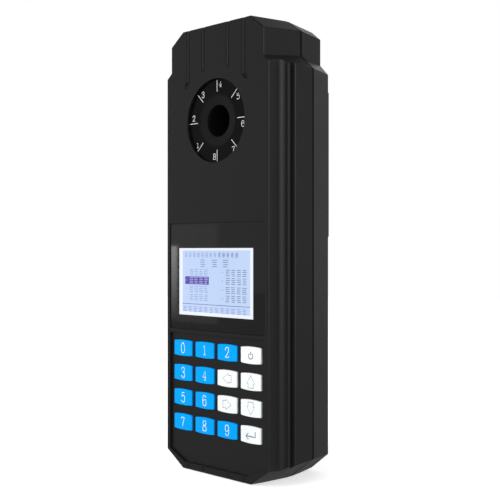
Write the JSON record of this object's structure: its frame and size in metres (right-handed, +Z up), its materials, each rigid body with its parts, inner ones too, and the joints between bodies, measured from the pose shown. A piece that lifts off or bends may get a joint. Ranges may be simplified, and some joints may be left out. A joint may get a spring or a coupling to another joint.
{
  "type": "portable water quality analyzer",
  "caption": "Hand-held water analyzer in a tall black housing, with a round sample well in a marked ring, a display, a keypad and a hinged battery door.",
  "frame": {"origin": "middle of the flat foot, under the middle of the housing's width and depth", "axes": "+Z up along the housing, +Y from the front face with the keys to the back, +X to the right as seen from the front"},
  "size_m": [0.0868, 0.0484, 0.2368],
  "materials": {
    "housing_black": "fine matt texture, moulded",
    "door_black": "fine matt texture, moulded",
    "seal_rubber": "matt",
    "tinted_window": "polished, dark tint",
    "display_glass": "polished glass with a lit picture",
    "light_guide": "white, diffusing",
    "key_blue": "satin",
    "key_white": "satin",
    "silicone": "matt",
    "spring_steel": "bright",
    "circuit_board": "green lacquer",
    "screw_steel": "zinc plated",
    "chip_resin": "moulded resin",
    "ring_black": "glossy, with white marks",
    "well_black": "matt, light-absorbing",
    "lamp_resin": "clear resin",
    "filter_glass": "polished",
    "sensor_metal": "plated can",
    "battery_jacket": "printed jacket, bare"
  },
  "bodies": {
    "case": {"front_shell": "housing_black", "rear_shell": "housing_black", "seam_gasket": "seal_rubber", "well_gasket": "seal_rubber", "display_lens": "tinted_window", "lcd_panel": "display_glass", "lcd_backlight": "light_guide", "keypad_mat": "silicone", "key_domes": "spring_steel", "battery_plates": "spring_steel", "battery_springs": "spring_steel", "main_board": "circuit_board", "lamp_board": "circuit_board", "detector_board": "circuit_board", "board_screws": "screw_steel", "case_screws": "screw_steel", "well_screws": "screw_steel", "processor_chip": "chip_resin", "buzzer": "chip_resin", "scale_ring": "ring_black", "sample_well": "well_black", "led_lamp": "lamp_resin", "optical_filter": "filter_glass", "photodiode": "sensor_metal", "battery_cell_1": "battery_jacket", "battery_cell_2": "battery_jacket", "battery_cell_3": "battery_jacket", "battery_cell_4": "battery_jacket"},
    "door": {"battery_door": "door_black", "door_screw": "screw_steel"},
    "cap_0": {"key_0": "key_blue"},
    "cap_1": {"key_1": "key_blue"},
    "cap_2": {"key_2": "key_blue"},
    "cap_escape": {"key_escape": "key_white"},
    "cap_3": {"key_3": "key_blue"},
    "cap_4": {"key_4": "key_blue"},
    "cap_left": {"key_left": "key_white"},
    "cap_up": {"key_up": "key_white"},
    "cap_5": {"key_5": "key_blue"},
    "cap_6": {"key_6": "key_blue"},
    "cap_right": {"key_right": "key_white"},
    "cap_down": {"key_down": "key_white"},
    "cap_7": {"key_7": "key_blue"},
    "cap_8": {"key_8": "key_blue"},
    "cap_9": {"key_9": "key_blue"},
    "cap_enter": {"key_enter": "key_white"}
  },
  "joints": [
    {"name": "door_hinge", "type": "hinge", "parent": "case", "child": "door", "pos_m": [0, 0.02158, 0.0212], "axis": [-1, 0, 0], "range_deg": [0, 90]},
    {"name": "press_0", "type": "slide", "parent": "case", "child": "cap_0", "axis": [0, 1, 0], "range_m": [0, 0.0006], "stiffness_N_per_m": 2500},
    {"name": "press_1", "type": "slide", "parent": "case", "child": "cap_1", "axis": [0, 1, 0], "range_m": [0, 0.0006], "stiffness_N_per_m": 2500},
    {"name": "press_2", "type": "slide", "parent": "case", "child": "cap_2", "axis": [0, 1, 0], "range_m": [0, 0.0006], "stiffness_N_per_m": 2500},
    {"name": "press_escape", "type": "slide", "parent": "case", "child": "cap_escape", "axis": [0, 1, 0], "range_m": [0, 0.0006], "stiffness_N_per_m": 2500},
    {"name": "press_3", "type": "slide", "parent": "case", "child": "cap_3", "axis": [0, 1, 0], "range_m": [0, 0.0006], "stiffness_N_per_m": 2500},
    {"name": "press_4", "type": "slide", "parent": "case", "child": "cap_4", "axis": [0, 1, 0], "range_m": [0, 0.0006], "stiffness_N_per_m": 2500},
    {"name": "press_left", "type": "slide", "parent": "case", "child": "cap_left", "axis": [0, 1, 0], "range_m": [0, 0.0006], "stiffness_N_per_m": 2500},
    {"name": "press_up", "type": "slide", "parent": "case", "child": "cap_up", "axis": [0, 1, 0], "range_m": [0, 0.0006], "stiffness_N_per_m": 2500},
    {"name": "press_5", "type": "slide", "parent": "case", "child": "cap_5", "axis": [0, 1, 0], "range_m": [0, 0.0006], "stiffness_N_per_m": 2500},
    {"name": "press_6", "type": "slide", "parent": "case", "child": "cap_6", "axis": [0, 1, 0], "range_m": [0, 0.0006], "stiffness_N_per_m": 2500},
    {"name": "press_right", "type": "slide", "parent": "case", "child": "cap_right", "axis": [0, 1, 0], "range_m": [0, 0.0006], "stiffness_N_per_m": 2500},
    {"name": "press_down", "type": "slide", "parent": "case", "child": "cap_down", "axis": [0, 1, 0], "range_m": [0, 0.0006], "stiffness_N_per_m": 2500},
    {"name": "press_7", "type": "slide", "parent": "case", "child": "cap_7", "axis": [0, 1, 0], "range_m": [0, 0.0006], "stiffness_N_per_m": 2500},
    {"name": "press_8", "type": "slide", "parent": "case", "child": "cap_8", "axis": [0, 1, 0], "range_m": [0, 0.0006], "stiffness_N_per_m": 2500},
    {"name": "press_9", "type": "slide", "parent": "case", "child": "cap_9", "axis": [0, 1, 0], "range_m": [0, 0.0006], "stiffness_N_per_m": 2500},
    {"name": "press_enter", "type": "slide", "parent": "case", "child": "cap_enter", "axis": [0, 1, 0], "range_m": [0, 0.0006], "stiffness_N_per_m": 2500}
  ]
}
